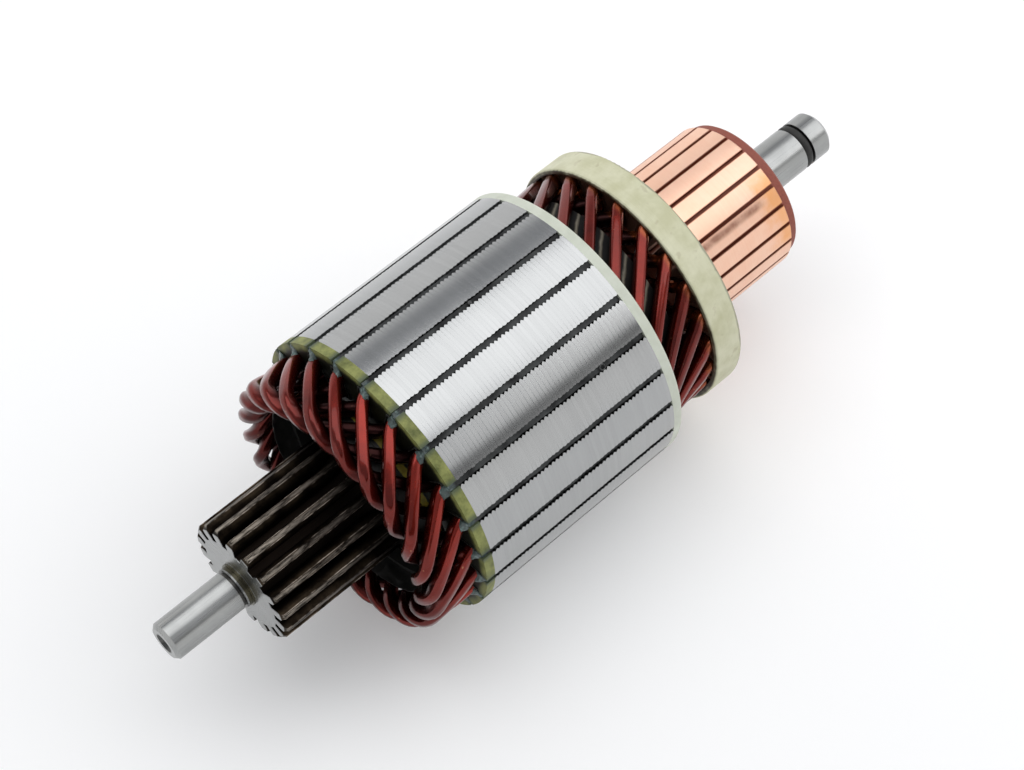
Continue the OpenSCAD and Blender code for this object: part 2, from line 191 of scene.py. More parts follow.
def srgb(red, green, blue):
    """A colour as it is read off a screen, from 0 to 255, for a socket."""
    def linear(value):
        share = value / 255
        return share / 12.92 if share <= 0.04045 else ((share + 0.055) / 1.055) ** 2.4
    return (linear(red), linear(green), linear(blue), 1.0)


print("white is written as", srgb(255, 255, 255)[:3])

# %% A finish in shaft coordinates


class Finish(Graph):
    """A material with the coordinates of the shaft at hand."""

    def __init__(self, name, **plain):
        material = bpy.data.materials.new(name)
        material.use_nodes = True
        super().__init__(material.node_tree)
        self.material = material
        self.plain = plain
        self.place = self.add("ShaderNodeTexCoord", out="Object")
        self.x, self.y, self.z = self.split(self.place)
        self.along = self.x / MM
        self.round = self.math("ARCTAN2", self.z, self.y)
        self.radius = self.math("SQRT", self.y * self.y + self.z * self.z) / MM

    def cloudy(self, scale, detail=2.0, roughness=0.5):
        """Noise without a direction."""
        return self.noise(self.place, scale, detail, roughness)

    def turned(self, lines, drift):
        """Noise drawn out round the shaft, as a lathe leaves it: lines in a millimetre, and their drift."""
        return self.noise(self.join(self.along * lines, self.round * drift, self.radius * 0.3), 1.0, 3.0, 0.6)

    def lane(self, first, count):
        """Place between neighbours that stand round the shaft: 0 on one, and 0.5 half way to the next."""
        share = (self.round - first) * (count / (2 * math.pi)) + count
        return (share.math("FRACT") - 0.5).math("ABSOLUTE") * -1 + 0.5

    def drawn(self, lines, drift):
        """Noise drawn out along the shaft: lines in a millimetre round it, and their drift along it."""
        return self.noise(self.join(self.along * drift, self.round * self.radius * lines, 0.0), 1.0, 3.0, 0.6)

    def close(self, colour, **others):
        """Ends in one Principled shader. Plain numbers and links both go on its own sockets."""
        sockets = {"Base Color": colour}
        for name, value in {**self.plain, **others}.items():
            sockets[name.replace("_", " ").title().replace("Ior", "IOR")] = value
        shader = self.add("ShaderNodeBsdfPrincipled", sockets=sockets)
        self.add("ShaderNodeOutputMaterial", sockets={"Surface": shader})
        return self.material


def paint(material, *names):
    """Gives a solid of the frame its finish."""
    for name in names:
        mesh = nodes[name].data
        mesh.materials.clear()
        mesh.materials.append(material)
    print(material.name, "on", len(names), "of the solids")


print("made:", Finish.__name__)

# %% [markdown]
# ## Sizes of the core and the bars
#
# The core's length and radius come from its solid. The winding's sizes are those that the bars were bent to.
# Lengths are in millimetres until a mesh is drawn, and angles in radians unless a name says degrees.

# %% Sizes
core_low, core_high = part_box("lamination_stack")
core_face = core_low.x / MM
core_end = core_high.x / MM
core_length = core_end - core_face
core_r = core_high.z / MM
sheet_t = 1.0
slot_count = 23
slot_pitch = math.radians(360 / slot_count)
first_slot = math.radians(86.5)
slot_mouth_w = 1.2
slot_w = 3.2
slot_top_r = core_r - 2.0
slot_shoulder = 0.6
bore_r = 9.05
disc_t = core_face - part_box("drive_end_disc")[0].x / MM
bar_w = 2.5
bar_h = 3.2
layer_gap = 0.8
liner_room = 0.35
top_r = slot_top_r - liner_room - bar_h / 2
bottom_r = top_r - bar_h - layer_gap
mid_r = (top_r + bottom_r) / 2
slot_bottom_r = bottom_r - liner_room - bar_h / 2
print("core", round(core_length, 2), "mm long,", round(core_r, 2), "mm in radius, layers at", top_r, bottom_r)

# %% [markdown]
# ## Trees that repeat a mesh
#
# Geometry Nodes do the copying. A loop in Python could copy meshes too, but a tree shows its steps in the
# editor and has named inputs. Each tree takes the object's own mesh, sets copies of it, makes them real and
# gives them a material. A modifier's inputs are set by identifier. The evaluated result is then kept as a
# plain mesh.

# %% Building a tree


def geometry_tree(name, inputs):
    """A geometry tree with named inputs. Returns its graph and the wires of the inputs by name."""
    tree = bpy.data.node_groups.new(name, "GeometryNodeTree")
    tree.interface.new_socket("Geometry", in_out="INPUT", socket_type="NodeSocketGeometry")
    for label, kind in inputs.items():
        tree.interface.new_socket(label, in_out="INPUT", socket_type="NodeSocket" + kind)
    tree.interface.new_socket("Geometry", in_out="OUTPUT", socket_type="NodeSocketGeometry")
    graph = Graph(tree)
    source = graph.add("NodeGroupInput").socket.node
    return graph, {socket.name: Wire(graph, socket) for socket in source.outputs if socket.name}


def close_tree(graph, geometry, material):
    """Makes the copies real and gives them their material."""
    real = graph.add("GeometryNodeRealizeInstances", sockets={0: geometry})
    made = graph.add("GeometryNodeSetMaterial", sockets={"Geometry": real, "Material": material})
    graph.add("NodeGroupOutput", sockets={0: made})
    return graph.tree


print("made:", geometry_tree.__name__, close_tree.__name__)

# %% Running a tree and keeping its result


def placed(name, data):
    """Puts a mesh, a lamp or a camera into the scene, at the origin."""
    thing = bpy.data.objects.new(name, data)
    scene.collection.objects.link(thing)
    return thing


def smooth(mesh, sharp):
    """Shades a mesh smooth, apart from edges that turn by more than an angle in degrees."""
    tidy = bmesh.new()
    tidy.from_mesh(mesh)
    bmesh.ops.recalc_face_normals(tidy, faces=tidy.faces)
    tidy.to_mesh(mesh)
    tidy.free()
    mesh.shade_smooth()
    mesh.set_sharp_from_angle(angle=math.radians(sharp))


def grow(name, mesh, tree, sizes, sharp=30):
    """Runs a tree on a mesh and keeps what it makes as a plain mesh, in an object at the origin."""
    piece = placed(name, mesh)
    modifier = piece.modifiers.new("copies", "NODES")
    modifier.node_group = tree
    for item in tree.interface.items_tree:
        if item.in_out == "INPUT" and item.name in sizes:
            modifier[item.identifier] = sizes[item.name]
    depsgraph = bpy.context.evaluated_depsgraph_get()
    made = bpy.data.meshes.new_from_object(piece.evaluated_get(depsgraph), depsgraph=depsgraph)
    piece.modifiers.clear()
    piece.data = made
    smooth(made, sharp)
    made.calc_loop_triangles()
    print(name, "has", len(made.loop_triangles), "triangles")
    return piece


print("made:", placed.__name__, smooth.__name__, grow.__name__)

# %% [markdown]
# ## Meshes drawn from loops of corners
#
# The mesh that a tree copies has to be drawn first. Each one here is a row of loops with the same number of
# corners, such as the rims of a sheet from one face to the other. One helper joins the loops. Extruding by
# hand would do the same, but a loop can follow a rule.

# %% Joining loops of corners


def skinned(name, *rows, caps=False):
    """A mesh of rows of loops in millimetres. A row gets caps, or else its last loop joins its first."""
    bm = bmesh.new()
    for row in rows:
        loops = [[bm.verts.new((x * MM, y * MM, z * MM)) for x, y, z in loop] for loop in row]
        for first, second in zip(loops, loops[1:] if caps else loops[1:] + loops[:1]):
            for i in range(len(first)):
                j = (i + 1) % len(first)
                bm.faces.new((first[i], first[j], second[j], second[i]))
        if caps:
            bm.faces.new(loops[0])
            bm.faces.new(loops[-1])
    mesh = bpy.data.meshes.new(name)
    bm.to_mesh(mesh)
    bm.free()
    return mesh


print("made:", skinned.__name__)

# %% [markdown]
# ## Rows and rings
#
# Two patterns repeat on an armature: sheets stand in a row along the shaft, and slots in a ring round it. An
# Array modifier makes exact copies, but no two real ones are quite the same. These trees turn or roughen each
# copy by chance, with a fixed seed.

# %% A row of copies along the shaft


def row_tree():
    """Copies in a row, each turned by chance up to the wobble."""
    inputs = {"Count": "Int", "Spacing": "Float", "Wobble": "Float", "Seed": "Int", "Material": "Material"}
    graph, given = geometry_tree("row along the shaft", inputs)
    offset = graph.join(given["Spacing"], 0.0, 0.0)
    points = graph.add("GeometryNodeMeshLine", sockets={"Count": given["Count"], "Offset": offset})
    sockets = {2: 0.0 - given["Wobble"], 3: given["Wobble"], "Seed": given["Seed"]}
    turn = graph.add("FunctionNodeRandomValue", {"data_type": "FLOAT"}, sockets, out=1)
    sockets = {"Points": points, "Instance": given["Geometry"], "Rotation": graph.join(turn, 0.0, 0.0)}
    return close_tree(graph, graph.add("GeometryNodeInstanceOnPoints", sockets=sockets), given["Material"])


row_of_copies = row_tree()
print("tree:", row_of_copies.name)

# %% A ring of copies round the shaft
ring_inputs = {"Count": "Int", "First angle": "Float", "Seed": "Int", "Material": "Material"}


def ring_copies(graph, given, geometry):
    """Copies of a geometry round the shaft, each with a tone of its own in the attribute called tone."""
    points = graph.add("GeometryNodePoints", sockets={"Count": given["Count"]})
    index = graph.add("GeometryNodeInputIndex")
    angle = given["First angle"] + index * (2 * math.pi) / given["Count"]
    sockets = {"Points": points, "Instance": geometry, "Rotation": graph.join(angle, 0.0, 0.0)}
    copies = graph.add("GeometryNodeInstanceOnPoints", sockets=sockets)
    tone = graph.add("FunctionNodeRandomValue", {"data_type": "FLOAT"}, {"Seed": given["Seed"]}, out=1)
    settings = {"data_type": "FLOAT", "domain": "INSTANCE"}
    sockets = {"Geometry": copies, "Name": "tone", "Value": tone}
    return graph.add("GeometryNodeStoreNamedAttribute", settings, sockets)


def ring_tree():
    """Copies in a ring, roughened by noise."""
    inputs = {**ring_inputs, "Roughness": "Float", "Noise scale": "Float"}
    graph, given = geometry_tree("ring round the shaft", inputs)
    copies = ring_copies(graph, given, given["Geometry"])
    real = graph.add("GeometryNodeRealizeInstances", sockets={0: copies})
    place = graph.add("GeometryNodeInputPosition")
    noise = graph.add("ShaderNodeTexNoise", sockets={"Vector": place, "Scale": given["Noise scale"]}, out=1)
    shift = graph.vector("SUBTRACT", noise, (0.5, 0.5, 0.5))
    shift = graph.add("ShaderNodeVectorMath", {"operation": "SCALE"}, {0: shift, "Scale": given["Roughness"]})
    rough = graph.add("GeometryNodeSetPosition", sockets={"Geometry": real, "Offset": shift})
    return close_tree(graph, rough, given["Material"])


ring_of_copies = ring_tree()
print("tree:", ring_of_copies.name)

# %% [markdown]
# ## Lamination steel
#
# The core was turned to size after stacking. The tool leaves fine lines round it, each sheet has a tone of
# its own, and the resin that was wiped off leaves faint clouds. A plain metal would look like one block, so
# noise is drawn out round the shaft for the lines, and the number of the sheet picks its tone.

# %% Finish of the core


def lamination_steel():
    finish = Finish("lamination_steel", metallic=1.0)
    place = (finish.along - core_face) / sheet_t
    number = place.math("FLOOR") + 0.37
    tone = finish.add("ShaderNodeTexWhiteNoise", {"noise_dimensions": "1D"}, {"W": number})
    lines = finish.turned(3.2, 2.5)
    clouds = finish.cloudy(60.0, 3.0)
    by_slot = finish.lane(first_slot, slot_count).step(0.36, 0.06)
    seam = (place.math("FRACT") - 0.5).math("ABSOLUTE").step(0.3, 0.48) * lines * (0.25 + by_slot)
    light = 0.77 + tone * 0.05 + clouds * 0.13 + lines * 0.13 - seam * 0.13
    colour = light.mix(srgb(46, 46, 46), srgb(172, 173, 173))
    roughness = 0.17 + clouds * 0.06
    normal = lines.bump(0.02, 0.00003)
    return finish.close(colour, roughness=roughness, normal=normal)


core_finish = lamination_steel()
print("finish:", core_finish.name)

# %% [markdown]
# ## The stack of sheets
#
# Seen close, the core isn't a smooth cylinder. It is a stack of punched sheets, and the punch breaks the
# edges of each one, most of all on the side of a slot that the turning tool meets last. That is what makes
# the saw-tooth edges. A bump map would leave the outline smooth, so one sheet is drawn as a mesh, and the row
# tree stacks it.

# %% One sheet
near_break = 0.14
far_break = 0.42
rim_break = 0.004
slot_edge_length = 0.42
rim_edge_length = 0.06
corner_room = 1.3
sheet_turn = 0.0022


def slot_corners():
    """Corners of a slot from one side of its mouth to the other: radius, distance across, edge break."""
    half_mouth = slot_mouth_w / 2
    rim = math.sqrt(core_r**2 - half_mouth**2)
    side = [(rim, half_mouth, 1), (slot_top_r + slot_shoulder, half_mouth, 1), (slot_top_r, slot_w / 2, 0),
            (slot_bottom_r, slot_w / 2, 0)]
    near = [(r, -v, broken * near_break) for r, v, broken in side]
    return near + [(r, v, broken * far_break) for r, v, broken in reversed(side)]


def sheet_outline(arc_steps=5):
    """Points of a sheet's rim as (y, z), each with the vector and the length of its broken edge."""
    points = []
    mouth = math.asin(slot_mouth_w / 2 / core_r)
    corner = mouth + far_break * corner_room / core_r
    for slot in range(slot_count):
        angle = first_slot + slot * slot_pitch
        out = Vector((math.cos(angle), math.sin(angle)))
        across = Vector((-math.sin(angle), math.cos(angle)))
        for r, v, edge in slot_corners():
            length = slot_edge_length if edge else 0.0
            points.append((out * r + across * v, across * math.copysign(edge, v), length))
        for step in range(arc_steps + 1):
            a = angle + corner + (slot_pitch - 2 * corner) * step / arc_steps
            ray = Vector((math.cos(a), math.sin(a)))
            points.append((ray * core_r, ray * -rim_break, rim_edge_length))
    return points


def sheet_mesh():
    """One sheet: a loop round its bore, four round its rim from face to face, and a loop round its bore."""
    outline = sheet_outline()
    rings = []
    for side, broken in ((0.0, True), (0.0, False), (sheet_t, False), (sheet_t, True)):
        ring = []
        for place, inset, length in outline:
            x = side if broken else side + (length if side == 0.0 else -length)
            y, z = place + inset if broken else place
            ring.append((core_face + x, y, z))
        rings.append(ring)
    rays = [place.normalized() * bore_r for place, _, _ in outline]
    front, back = [[(core_face + x, ray.x, ray.y) for ray in rays] for x in (0.0, sheet_t)]
    return skinned("sheet", [front, *rings, back])


sheet_count = round(core_length / sheet_t)
sizes = {"Count": sheet_count, "Spacing": sheet_t * MM, "Wobble": sheet_turn, "Seed": 7,
         "Material": core_finish}
laminations = grow("laminations", sheet_mesh(), row_of_copies, sizes, sharp=3)
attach(laminations, "root")
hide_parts("lamination_stack")

# %% [markdown]
# ## The path of a hairpin
#
# Each bar is one hairpin: out of the top of a slot, slanting round the core, over its nose, and back into the
# bottom of the fourth slot on. A curve drawn by hand might cut its neighbours. This path is a rule, and
# a list of stations gives it: place along the shaft, radius and angle.

# %% Sizes of the path
back_pitch = 4
half_span = back_pitch * slot_pitch / 2
tail_angle = 2 * slot_pitch
straight_lead = disc_t + 0.4
nose_reach = 10.8
nose_fold = 0.28
nose_turn = 0.55
nose_round = 0.4
nose_start = 0.86
nose_share = 0.84
nose_steps = 44
slant_length = 16.2
fall_gap = 1.6
band_low, band_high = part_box("banding_ring")
fall_share = (band_low.x / MM - fall_gap - core_end) / slant_length
riser_drop = 2.3
riser_gap = 0.3
tail_reach = 23.3
tail_bend = 0.7
fall_bend = 0.8
exit_bend = 1.5
lead_bend = 2.2
print("noses end", round(straight_lead + nose_reach, 2), "mm in front of the core")

# %% Stations of the nose and the legs


def nose_rise(t):
    """Height of the nose's curve, from 0 at the straight lead to 1 at the tip."""
    base = math.hypot(1, nose_round)
    return (base - math.hypot(t, nose_round)) / (base - nose_round)


def nose_station(t):
    fold = max(-1.0, min(1.0, t / nose_fold))
    r = mid_r + (top_r - mid_r) * math.sin(math.pi / 2 * fold)
    return Vector((-straight_lead - nose_reach * nose_rise(t), r, -half_span * t))


def leg_station(side, share):
    start = top_r if side > 0 else bottom_r
    end = top_r - riser_drop if side > 0 else top_r - riser_drop - bar_h - riser_gap
    r = start + (end - start) * min(1.0, share / fall_share)
    return Vector((core_length + slant_length * share, r, -side * (half_span + tail_angle * share)))


print("tip of the nose:", nose_station(0.0))

# %% The path from tail to tail


def bent(before, corner, after, reach, steps=6):
    """Rounds a corner of the path: stations on a curve that starts and ends a reach away from it."""
    start = corner + (before - corner) * min(1.0, reach / abs(before.x - corner.x))
    end = corner + (after - corner) * min(1.0, reach / abs(after.x - corner.x))
    shares = [i / steps for i in range(steps + 1)]
    return [start.lerp(corner, s).lerp(corner.lerp(end, s), s) for s in shares]


def leg(side):
    """Half of a hairpin, from its tail to the start of its nose."""
    slant_end = leg_station(side, 1.0)
    tail = Vector((core_length + tail_reach, slant_end.y, slant_end.z))
    fall_end = leg_station(side, fall_share)
    core_exit = leg_station(side, 0.0)
    lead = nose_station(side)
    start = nose_station(side * nose_start)
    return [tail, *bent(tail, slant_end, fall_end, tail_bend),
            *bent(slant_end, fall_end, core_exit, fall_bend),
            *bent(fall_end, core_exit, lead, exit_bend), *bent(core_exit, lead, start, lead_bend)]


nose = [nose_station(nose_share * math.cos(math.pi * i / nose_steps)) for i in range(nose_steps + 1)]
path = [*leg(1), *nose, *reversed(leg(-1))]
print("stations on a hairpin:", len(path))

# %% [markdown]
# ## Enamelled copper
#
# The bars are copper with a red-brown enamel, dipped in dark varnish after winding. A plain red plastic would
# look flat. A glossy coat over a mostly metallic base gives the deep colour and the white glints. The finish
# reads the place on the bar's section: the flanks, the inner faces and the lower layer are painted in shade,
# and so are the noses and the tails. Where the bars enter the band, they are stripped.

# %% Finish of the bars


def enamelled_copper():
    finish = Finish("enamelled_copper", metallic=0.85, specular_ior_level=0.25, coat_roughness=0.06,
                    coat_ior=1.42)
    tone = finish.add("ShaderNodeAttribute", {"attribute_name": "tone"}, out="Fac")
    outer = finish.add("ShaderNodeAttribute", {"attribute_name": "outer"}, out="Fac")
    streaks = finish.cloudy(260.0, 3.0, 0.6)
    fine = finish.cloudy(2600.0, 2.0)
    fallen = ((finish.along - core_end) / slant_length).math("MAXIMUM", 0.0).math("MINIMUM", 1.0)
    # Painted shade: the lower layer of bars is darkened.
    lower = (finish.radius - mid_r + fallen * riser_drop).step(0.8, -0.8)
    # Painted shade: flanks and inner faces of the bars are darkened, and shown is 1 only on the outer faces.
    shown = (outer + streaks * 0.4).step(-0.7, 0.95)
    red = (tone * 0.35 + streaks * 0.65).mix(srgb(64, 11, 8), srgb(154, 42, 28))
    colour = shown.mix(srgb(36, 9, 7), red)
    nose_foot = core_face - straight_lead
    # Painted shade on the noses.
    nose_shade = finish.along.step(nose_foot - 3.0, nose_foot - nose_reach)
    colour = (lower * 0.7).math("MAXIMUM", nose_shade * 0.4).mix(colour, srgb(36, 11, 11))
    # Painted shade on the tails, past the end of the core.
    tail_shade = finish.along.step(core_end - 1.0, core_end + 1.0)
    colour = (tail_shade * 0.3).mix(colour, srgb(24, 6, 5))
    strip = (finish.along + streaks * 1.2).step(core_end + 14.8, core_end + 16.0)
    colour = (strip * 0.6).mix(colour, srgb(150, 78, 38))
    specks = finish.cloudy(1300.0, 1.0).step(0.74, 0.8)
    colour = (specks * 0.35).mix(colour, srgb(210, 160, 120))
    roughness = 0.2 + streaks * 0.12
    normal = (streaks + fine * 0.1).bump(0.2, 0.00012)
    coat = 0.05 + shown * (0.5 - lower * 0.3)
    return finish.close(colour, roughness=roughness, coat_weight=coat, normal=normal)


bar_finish = enamelled_copper()
print("finish:", bar_finish.name)

# %% [markdown]
# ## The hairpins
#
# A tree turns the path into a bar, and sets 23 of them round the shaft. A curve with a bevel would twist at
# the nose, where the real bar turns over. So the tree works out the section's direction from the angle alone.

# %% The tree that sweeps and sets the bars
bar_edge = 0.92
edge_steps = 5


def bar_tree():
    own = ("Height", "Width", "Edge", "Half span", "Turn")
    graph, given = geometry_tree("hairpins", {**ring_inputs, **dict.fromkeys(own, "Float")})
    curve = graph.add("GeometryNodeMeshToCurve", sockets={"Mesh": given["Geometry"]})
    x, y, z = graph.split(graph.add("GeometryNodeInputPosition"))
    # The section leans outwards on the legs and forwards at the nose.
    angle = graph.math("ARCTAN2", z, y)
    share = 0.0 - angle / (given["Half span"] * given["Turn"])
    share = share.math("MINIMUM", 1.0).math("MAXIMUM", -1.0)
    turn = (1 - (3 * share - share**3) / 2) * (math.pi / 2)
    outward = turn.math("COSINE")
    lean = graph.join(0.0 - turn.math("SINE"), outward * angle.math("COSINE"), outward * angle.math("SINE"))
    # What leans along the bar is taken off, so that the section stands square to it.
    along = graph.add("GeometryNodeInputTangent")
    slip = graph.vector("DOT_PRODUCT", lean, along, out="Value")
    sunk = graph.add("ShaderNodeVectorMath", {"operation": "SCALE"}, {0: along, "Scale": slip})
    up = graph.vector("NORMALIZE", graph.vector("SUBTRACT", lean, sunk))
    curve = graph.add("GeometryNodeSetCurveNormal", {"mode": "FREE"}, {"Curve": curve, "Normal": up})
    sockets = {"Width": given["Height"], "Height": given["Width"]}
    section = graph.add("GeometryNodeCurvePrimitiveQuadrilateral", {"mode": "RECTANGLE"}, sockets)
    sockets = {"Curve": section, "Radius": given["Edge"], "Count": edge_steps}
    section = graph.add("GeometryNodeFilletCurve", {"mode": "POLY"}, sockets)
    # The place on the section, from -1 on the inner face to 1 on the outer one, is kept for the finish.
    sockets = {"Geometry": section, "Name": "outer", "Value": x * 2 / given["Height"]}
    section = graph.add("GeometryNodeStoreNamedAttribute", {"data_type": "FLOAT", "domain": "POINT"}, sockets)
    sockets = {"Curve": curve, "Profile Curve": section, "Fill Caps": True}
    bar = graph.add("GeometryNodeCurveToMesh", sockets=sockets)
    return close_tree(graph, ring_copies(graph, given, bar), given["Material"])


hairpin_tree = bar_tree()
print("tree:", hairpin_tree.name)

# %% The winding


def path_mesh(name, stations):
    """The stations as points joined by edges, round the Y axis."""
    points = []
    for x, r, angle in stations:
        points.append(((core_face + x) * MM, r * math.cos(angle) * MM, r * math.sin(angle) * MM))
    mesh = bpy.data.meshes.new(name)
    mesh.from_pydata(points, [(i, i + 1) for i in range(len(points) - 1)], [])
    return mesh


sizes = {"Count": slot_count, "First angle": first_slot + half_span, "Seed": 3, "Material": bar_finish,
         "Height": bar_h * MM, "Width": bar_w * MM, "Edge": bar_edge * MM,
         "Half span": half_span, "Turn": nose_turn}
winding = grow("hairpin_winding", path_mesh("hairpin_path", path), hairpin_tree, sizes, sharp=50)
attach(winding, "root")
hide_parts(*[f"hairpin_{i:02d}" for i in range(1, slot_count + 1)])

# %% [markdown]
# ## Resin
#
# The wound core is dipped in resin. It fills the slot mouths just under the surface, and stands as small
# glossy webs where the bars leave the slots. A flat black would do for the slots from afar, but near by the
# resin has waves that catch light. A strip is drawn once. The ring tree copies it, and its noise makes every
# copy a little different.

# %% Finish of the resin


def grey_resin():
    finish = Finish("grey_resin", specular_ior_level=0.2, coat_roughness=0.1)
    clouds = finish.cloudy(240.0, 3.0)
    flecks = finish.cloudy(1100.0, 2.0)
    web_side = finish.along.step(core_face - 0.2, core_face - 1.2)
    strip = clouds.step(0.3, 0.7).mix(srgb(18, 19, 20), srgb(70, 72, 72))
    blotches = clouds * 0.5 + flecks.step(0.45, 0.75) * 0.5
    web = blotches.mix(srgb(18, 26, 26), srgb(122, 144, 141))
    colour = web_side.mix(strip, web)
    normal = (clouds + flecks * 0.3).bump(0.5, 0.00025)
    raised = finish.radius.step(core_r - 0.5, core_r - 0.3)
    coat = (0.05 + web_side * 0.5).math("MAXIMUM", raised)
    return finish.close(colour, roughness=0.5 + clouds * 0.18, coat_weight=coat, normal=normal)


resin_finish = grey_resin()
print("finish:", resin_finish.name)

# %% Strips in the slot mouths
strip_depth = 0.6
strip_dish = 0.1
strip_side_gap = 0.02
strip_floor_gap = 0.1
strip_end_gap = 0.2


def ring_sizes(seed, material, roughness, noise_scale):
    """Inputs of the ring tree for copies that stand at the slots, with a roughness in millimetres."""
    return {"Count": slot_count, "First angle": first_slot, "Seed": seed, "Material": material,
            "Roughness": roughness * MM, "Noise scale": noise_scale}


def strip_mesh(steps=100):
    """A bar of resin on the Y axis, filling a slot's mouth under the core's surface."""
    half = slot_mouth_w / 2 - strip_side_gap
    top = core_r - strip_depth
    floor = slot_top_r + strip_floor_gap
    section = [(-half, top + strip_dish), (-half * 0.4, top), (half * 0.4, top), (half, top + strip_dish),
               (half, floor), (-half, floor)]
    start = core_face - disc_t + strip_end_gap
    rings = []
    for i in range(steps + 1):
        x = start + (core_end - strip_end_gap - start) * i / steps
        rings.append([(x, r, v) for v, r in section])
    return skinned("strip", rings, caps=True)


sizes = ring_sizes(seed=5, material=resin_finish, roughness=0.35, noise_scale=450.0)
strips = grow("slot_resin", strip_mesh(), ring_of_copies, sizes, sharp=50)
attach(strips, "root")

# %% [markdown]
# ## A bubble and a bead
#
# At two slots the resin stands up: a bubble burst while it cured, and a bead stayed. Both are rings with a
# round section, and the bead's is so small that its hole is shut. Torus primitives would have to be turned to
# their slots, so the loops are worked out in place.

# %% Two blisters: place along the core, slot, radius, thickness, depth
blisters = [(38.5, 3, 0.6, 0.16, 0.1), (25.75, 0, 0.25, 0.3, 0.32)]


def blister_mesh(turns=28, sides=10):
    """Rings of resin, each at its slot."""
    rows = []
    for along, slot, ring_r, tube_r, depth in blisters:
        angle = first_slot + slot * slot_pitch
        out = Vector((0.0, math.cos(angle), math.sin(angle)))
        middle = Vector((core_face + along, 0.0, 0.0)) + out * (core_r - depth)
        across = Vector((0.0, -out.z, out.y))
        rings = []
        for i in range(turns):
            a = 2 * math.pi * i / turns
            ray = Vector((math.cos(a), 0.0, 0.0)) + across * math.sin(a)
            ring = []
            for j in range(sides):
                b = 2 * math.pi * j / sides
                place = middle + ray * (ring_r + tube_r * math.cos(b)) + out * tube_r * math.sin(b)
                ring.append(place)
            rings.append(ring)
        rows.append(rings)
    mesh = skinned("blisters", *rows)
    mesh.materials.append(resin_finish)
    smooth(mesh, 60)
    return mesh


drops = placed("slot_blisters", blister_mesh())
print(drops.name, "has", len(drops.data.polygons), "faces")
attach(drops, "root")

# %% [markdown]
# ## Webs
#
# Where a bar comes out of the end disc, resin hangs on it as a small hood. To sculpt 23 of them would be
# slow. One hood follows the bar from the slot's mouth to the bar's back, and the ring tree roughens its
# copies.

# %% Webs where the bars leave the slots
web_start = 0.2
web_length = disc_t + 1.3
web_fade = 1.1
web_lap = 0.05
web_swell = 0.3
web_sink = 0.9
web_depth = 0.5
web_lift = 0.1
flare_w = 0.6
flare_gap = 0.15
flare_length = 0.45


def path_at(x):
    """Radius of a hairpin's upper leg at a place along the shaft, and its angle from its slot."""
    for first, second in zip(path, path[1:]):
        if second.x <= x <= first.x:
            place = first.lerp(second, (first.x - x) / max(first.x - second.x, 1e-6))
            return place.y, place.z + half_span
    raise ValueError(x)


def web_mesh(steps=20, sides=16):
    """A hood of resin from the slot's mouth in the end disc to the bar's back, on the Y axis."""
    rings = []
    for i in range(steps + 1):
        x = web_start - web_length * i / steps
        past = max(0.0, min(1.0, (-disc_t - x) / web_fade))
        bar_r, turn = path_at(min(x, -0.1))
        flare = math.exp(-((x + disc_t + flare_gap) / flare_length)**2)
        half = slot_mouth_w / 2 + web_lap + web_swell * past + flare_w * flare
        base = bar_r + bar_h / 2 - web_sink
        top = core_r - web_depth + (bar_r + bar_h / 2 + web_lift - core_r + web_depth) * past**0.5
        ring = []
        for j in range(sides + 1):
            a = math.pi * j / sides
            r = base + (top - base) * math.sin(a)**0.6
            across = half * math.cos(a)
            y = r * math.cos(turn) - across * math.sin(turn)
            z = r * math.sin(turn) + across * math.cos(turn)
            ring.append((core_face + x, y, z))
        rings.append(ring)
    return skinned("web", rings, caps=True)


sizes = ring_sizes(seed=9, material=resin_finish, roughness=1.3, noise_scale=620.0)
webs = grow("exit_resin", web_mesh(), ring_of_copies, sizes, sharp=60)
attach(webs, "root")

# %% [markdown]
# ## The shaft
#
# One turned piece has three looks: bright ground journals with long streaks, a pinion dark with old oil whose
# tooth tips are worn bare, and dull shoulders between them. Three materials would have hard borders, so all
# are one finish that reads the place along the shaft and the place on a tooth.

# %% Sizes of the pinion
front_journal_length = 19.2
run_out_gap = 6.5
pinion_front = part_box("shaft")[0].x / MM + front_journal_length
pinion_back = core_face - run_out_gap
pinion_tip_r = 14.0
pinion_teeth = 18
first_tooth = math.radians(83.5)
land_degrees = 2.67
half_land = land_degrees / (360 / pinion_teeth)
print("pinion from", round(pinion_front, 2), "to", round(pinion_back, 2), "mm along the shaft")

# %% Colour of the pinion


